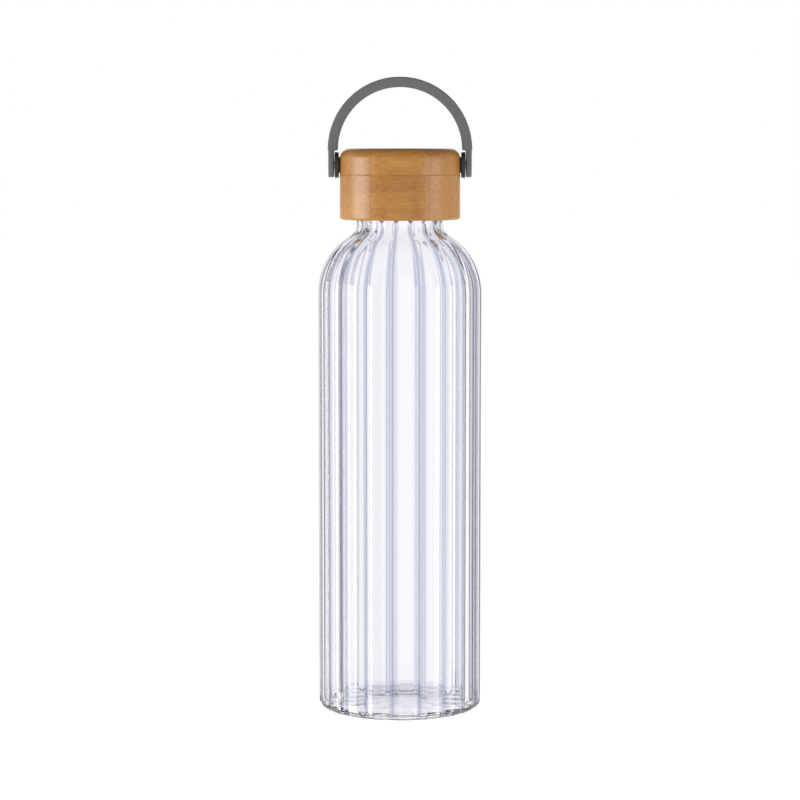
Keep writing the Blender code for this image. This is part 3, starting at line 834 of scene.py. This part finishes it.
def makePlasticMaterial(name, colourHex, roughness, grain, depth, softness=0.0):
    # moulded: an even colour with a fine spark-eroded grain that keeps it matt
    # softness lets a little light into the surface
    material, tree, shader, place = startMaterial(name)
    grit = addNode(tree, "ShaderNodeTexNoise",
                   links={"Vector": place, "Scale": 1 / grain, "Detail": 3.0})
    driftPlace = addNode(tree, "ShaderNodeMapping", links={"Vector": place, "Scale": (0.15, 0.15, 0.15)})
    drift = addNode(tree, "ShaderNodeTexNoise",
                    links={"Vector": driftPlace, "Scale": 1.0, "Detail": 2.0})
    mixed = addNode(tree, "ShaderNodeMath", {"operation": "MULTIPLY_ADD"},
                    {0: drift.outputs[0], 1: 0.6, 2: grit.outputs[0]})
    shade = addNode(tree, "ShaderNodeMapRange",
                    links={"Value": mixed, "From Min": 0.4, "From Max": 1.2, "To Min": 0.9, "To Max": 1.1})
    colour = linearColour(colourHex)[:3]
    tinted = addNode(tree, "ShaderNodeVectorMath", {"operation": "SCALE"}, {0: colour, "Scale": shade})
    tree.links.new(tinted.outputs[0], shader.inputs["Base Color"])
    rough = addNode(tree, "ShaderNodeMapRange",
                    links={"Value": grit.outputs[0], "To Min": roughness + 0.06, "To Max": roughness - 0.06})
    tree.links.new(rough.outputs[0], shader.inputs["Roughness"])
    bump = addNode(tree, "ShaderNodeBump",
                   links={"Height": grit.outputs[0], "Distance": depth, "Strength": 1.0})
    tree.links.new(bump.outputs[0], shader.inputs["Normal"])
    if softness:
        shader.inputs["Subsurface Weight"].default_value = softness
        shader.inputs["Subsurface Scale"].default_value = 0.002
    return material


def makeMetalMaterial(name, colourHex, roughness):
    # turned metal: fine rings round the pivot axis, brighter on their crests
    material, tree, shader, place = startMaterial(name)
    centred = addNode(tree, "ShaderNodeVectorMath", {"operation": "SUBTRACT"},
                      {0: place, 1: (0, 0, pivot["height"] / mm)})
    flat = addNode(tree, "ShaderNodeVectorMath", {"operation": "MULTIPLY"}, {0: centred, 1: (0, 1, 1)})
    radius = addNode(tree, "ShaderNodeVectorMath", {"operation": "LENGTH"}, {0: flat})
    axes = addNode(tree, "ShaderNodeSeparateXYZ", links={0: centred})
    rings = addNode(tree, "ShaderNodeCombineXYZ", links={0: radius.outputs["Value"], 1: axes.outputs[0]})
    lines = addNode(tree, "ShaderNodeTexNoise", links={"Vector": rings, "Scale": 12.0, "Detail": 2.0})
    shade = addNode(tree, "ShaderNodeMapRange",
                    links={"Value": lines.outputs[0], "To Min": 0.82, "To Max": 1.08})
    colour = linearColour(colourHex)[:3]
    tinted = addNode(tree, "ShaderNodeVectorMath", {"operation": "SCALE"}, {0: colour, "Scale": shade})
    tree.links.new(tinted.outputs[0], shader.inputs["Base Color"])
    shader.inputs["Metallic"].default_value = 1.0
    rough = addNode(tree, "ShaderNodeMapRange",
                    links={"Value": lines.outputs[0], "To Min": roughness + 0.1, "To Max": roughness - 0.06})
    tree.links.new(rough.outputs[0], shader.inputs["Roughness"])
    bump = addNode(tree, "ShaderNodeBump",
                   links={"Height": lines.outputs[0], "Distance": 0.01 * mm, "Strength": 0.6})
    tree.links.new(bump.outputs[0], shader.inputs["Normal"])
    return material


studio = {
    "cameraDistance": 1000 * mm,
    "cameraHeight": 220 * mm,
    "aimHeight": 124.4 * mm,
    "lens": 112.4,
    "stripStep": 90.0,  # degrees between the pairs of grey flags, so that every side shows the flutes
    "stripPlace": 32.0,  # how far each flag of a pair stands to the side
    "stripHalf": 6.0,
    "stripEdge": 4.0,
    "stripFoot": -0.3,  # the flags end below this slope, so the base stays clear
    "flagGrey": "#3C3E52",
    "groundSeen": "#F0F0F6",
    "ceilingGrey": "#202022",  # lights matt surfaces
    "ceilingSeen": "#B9BAC4",  # shows in what shines
    "wallLight": 1.4,  # how brightly the walls light matt surfaces
    "floorTone": "#EDEDED",
    "floorGlow": 0.93,
    "lampAim": 140 * mm,
}
# azimuth in degrees with 0 at the camera, lengths in metres; both reach below the floor, so that their
# reflections run the whole height of the glass
softboxes = {
    "keyLight": {"azimuth": -80, "height": -0.05, "distance": 1.1, "width": 0.7, "tall": 0.9, "power": 12.0},
    "fillLight": {"azimuth": 66, "height": -0.05, "distance": 1.2, "width": 0.7, "tall": 0.9, "power": 6.0},
}


def makeCamera():
    data = bpy.data.cameras.new("camera")
    data.lens = studio["lens"]
    data.clip_start = 0.01
    camera = bpy.data.objects.new("camera", data)
    bpy.context.scene.collection.objects.link(camera)
    camera.location = (0, -studio["cameraDistance"], studio["cameraHeight"])
    aim = Vector((0, 0, studio["aimHeight"])) - camera.location
    camera.rotation_euler = aim.to_track_quat("-Z", "Y").to_euler()
    bpy.context.scene.camera = camera


def makeWorld():  # a white room; what shines and refracts also sees upright grey flags and a grey ceiling
    world = bpy.data.worlds.new("studio")
    bpy.context.scene.world = world
    world.use_nodes = True
    tree = world.node_tree
    direction = addNode(tree, "ShaderNodeTexCoord")
    axes = addNode(tree, "ShaderNodeSeparateXYZ", links={0: direction.outputs["Generated"]})
    turn = addNode(tree, "ShaderNodeMath", {"operation": "ARCTAN2"},
                   {0: axes.outputs[0], 1: axes.outputs[1]})
    degrees = addNode(tree, "ShaderNodeMath", {"operation": "DEGREES"}, {0: turn})
    step = addNode(tree, "ShaderNodeMath", {"operation": "DIVIDE"}, {0: degrees, 1: studio["stripStep"]})
    away = addNode(tree, "ShaderNodeMath", {"operation": "PINGPONG"}, {0: step, 1: 0.5})
    aside = addNode(tree, "ShaderNodeMath", {"operation": "MULTIPLY"}, {0: away, 1: studio["stripStep"]})
    fromFlag = addNode(tree, "ShaderNodeMath", {"operation": "SUBTRACT"},
                       {0: aside, 1: studio["stripPlace"]})
    gap = addNode(tree, "ShaderNodeMath", {"operation": "ABSOLUTE"}, {0: fromFlag})
    upright = addNode(tree, "ShaderNodeMapRange", {"interpolation_type": "SMOOTHSTEP"}, {
        "Value": gap,
        "From Min": studio["stripHalf"] + studio["stripEdge"],
        "From Max": studio["stripHalf"] - studio["stripEdge"],
    })
    level = addNode(tree, "ShaderNodeMapRange", {"interpolation_type": "SMOOTHSTEP"}, {
        "Value": axes.outputs[2],
        "From Min": studio["stripFoot"] - 0.2,
        "From Max": studio["stripFoot"],
    })
    flagged = addNode(tree, "ShaderNodeMath", {"operation": "MULTIPLY"}, {0: upright, 1: level})
    ground = addNode(tree, "ShaderNodeMix", {"data_type": "RGBA"}, {0: level})
    ground.inputs[6].default_value = linearColour(studio["groundSeen"])
    ground.inputs[7].default_value = (1, 1, 1, 1)
    walls = addNode(tree, "ShaderNodeMix", {"data_type": "RGBA"}, {0: flagged})
    tree.links.new(ground.outputs[2], walls.inputs[6])
    walls.inputs[7].default_value = linearColour(studio["flagGrey"])
    overhead = addNode(tree, "ShaderNodeMapRange", {"interpolation_type": "SMOOTHSTEP"},
                       {"Value": axes.outputs[2], "From Min": 0.35, "From Max": 0.7})
    seen = addNode(tree, "ShaderNodeMix", {"data_type": "RGBA"}, {0: overhead})
    tree.links.new(walls.outputs[2], seen.inputs[6])
    seen.inputs[7].default_value = linearColour(studio["ceilingSeen"])
    path = addNode(tree, "ShaderNodeLightPath")
    unlit = addNode(tree, "ShaderNodeMapRange", {"interpolation_type": "SMOOTHSTEP"},
                    {"Value": axes.outputs[2], "From Min": -0.05, "From Max": 0.4})
    lit = addNode(tree, "ShaderNodeMix", {"data_type": "RGBA"}, {0: unlit})
    lit.inputs[6].default_value = (studio["wallLight"],) * 3 + (1,)
    lit.inputs[7].default_value = linearColour(studio["ceilingGrey"])
    matt = addNode(tree, "ShaderNodeMix", {"data_type": "RGBA"}, {0: path.outputs["Is Diffuse Ray"]})
    tree.links.new(seen.outputs[2], matt.inputs[6])
    tree.links.new(lit.outputs[2], matt.inputs[7])
    mixed = addNode(tree, "ShaderNodeMix", {"data_type": "RGBA"}, {0: path.outputs["Is Camera Ray"]})
    tree.links.new(matt.outputs[2], mixed.inputs[6])
    mixed.inputs[7].default_value = (1, 1, 1, 1)
    tree.links.new(mixed.outputs[2], tree.nodes["Background"].inputs["Color"])


def makeSoftbox(name, softbox):
    data = bpy.data.lights.new(name, "AREA")
    data.shape = "RECTANGLE"
    data.size = softbox["width"]
    data.size_y = softbox["tall"]
    data.energy = softbox["power"]
    lamp = bpy.data.objects.new(name, data)
    bpy.context.scene.collection.objects.link(lamp)
    angle = math.radians(softbox["azimuth"])
    distance = softbox["distance"]
    lamp.location = (distance * math.sin(angle), -distance * math.cos(angle), softbox["height"])
    aim = Vector((0, 0, studio["lampAim"])) - lamp.location
    lamp.rotation_euler = aim.to_track_quat("-Z", "Y").to_euler()
    lamp.visible_camera = False
    lamp.visible_transmission = False


def makeFloor():
    material, tree, shader, place = startMaterial("paleFloor")  # a matt sweep, nearly white
    grain = addNode(tree, "ShaderNodeTexNoise", links={"Vector": place, "Scale": 0.4, "Detail": 2.0})
    tone = linearColour(studio["floorTone"])[:3]
    level = addNode(tree, "ShaderNodeMapRange",
                    links={"Value": grain.outputs[0], "To Min": 0.985, "To Max": 1.0})
    tinted = addNode(tree, "ShaderNodeVectorMath", {"operation": "SCALE"}, {0: tone, "Scale": level})
    tree.links.new(tinted.outputs[0], shader.inputs["Base Color"])
    shader.inputs["Roughness"].default_value = 0.9
    shader.inputs["Specular IOR Level"].default_value = 0.0
    shader.inputs["Emission Color"].default_value = (1, 1, 1, 1)
    shader.inputs["Emission Strength"].default_value = studio["floorGlow"]
    half = 6.0
    mesh = bpy.data.meshes.new("floor")
    drop = -0.02 * mm
    corners = [(-half, -half, drop), (half, -half, drop), (half, half, drop), (-half, half, drop)]
    mesh.from_pydata(corners, [], [(0, 1, 2, 3)])
    floor = addPiece("floor", mesh, material)
    floor.visible_transmission = False
    floor.visible_glossy = False


print("geometry trees")
fluteTree = makeFluteTree()
threadTree = makeThreadTree()


def fit(piece, body, node):
    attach(piece, body)
    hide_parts(node)


print("glass bottle")
fit(makeGlass(fluteTree, threadTree, makeGlassMaterial()), "bottle", "glass_body")

print("lid")
bamboo = makeBambooMaterial()
fit(makeLidCap(bamboo), "lid", "lid_cap")
fit(makeLidCollar(bamboo), "lid", "lid_collar")
# food-grade and smooth from a polished mould: milky white
linerPlastic = makePlasticMaterial("polypropylene", finish["linerWhite"], 0.36, 0.6, 0.004 * mm, 0.15)
fit(makeLidLiner(threadTree, linerPlastic), "lid", "lid_liner")

print("seal")
# cured rubber: cloudy and dull
silicone = makePlasticMaterial("siliconeRubber", finish["sealGrey"], 0.5, 0.4, 0.004 * mm, 0.25)
fit(makeSeal(silicone), "seal", "seal_ring")

print("handle and pivots")
# a tough grey moulding with a fine grain, so no hard highlight
strapPlastic = makePlasticMaterial("mouldedStrapPlastic", finish["strapGrey"], 0.5, 0.25, 0.02 * mm)
# moulded bushes, a little smoother than the strap: near-black with a low sheen
blackPlastic = makePlasticMaterial("blackNylon", finish["fittingBlack"], 0.42, 0.25, 0.015 * mm)
# turned screws: cool and bright, with fine rings
steel = makeMetalMaterial("stainlessSteelTurned", finish["steel"], 0.3)
# turned inserts: the same rings on a warm metal
brass = makeMetalMaterial("brassTurned", finish["brass"], 0.3)
fit(makeHandle(strapPlastic), "handle", "handle_loop")
for side, sign in (("right", 1), ("left", -1)):
    label = side.capitalize()
    boss = makeBoss("pivotBoss" + label, "pivot_boss_" + side, blackPlastic, sign)
    fit(boss, "lid", "pivot_boss_" + side)
    insert = makeInsert("pivotInsert" + label, "pivot_insert_" + side, fluteTree, brass, sign)
    fit(insert, "lid", "pivot_insert_" + side)
    screw = makeScrew("pivotScrew" + label, "pivot_screw_" + side, threadTree, steel, sign)
    fit(screw, "lid", "pivot_screw_" + side)

print("studio")
makeCamera()
makeWorld()
makeFloor()
for name, softbox in softboxes.items():
    makeSoftbox(name, softbox)
bpy.context.scene.view_settings.view_transform = "Standard"
bpy.context.scene.cycles.max_bounces = 24  # light runs a long way inside the glass walls
bpy.context.scene.cycles.transmission_bounces = 24
bpy.context.scene.cycles.glossy_bounces = 24
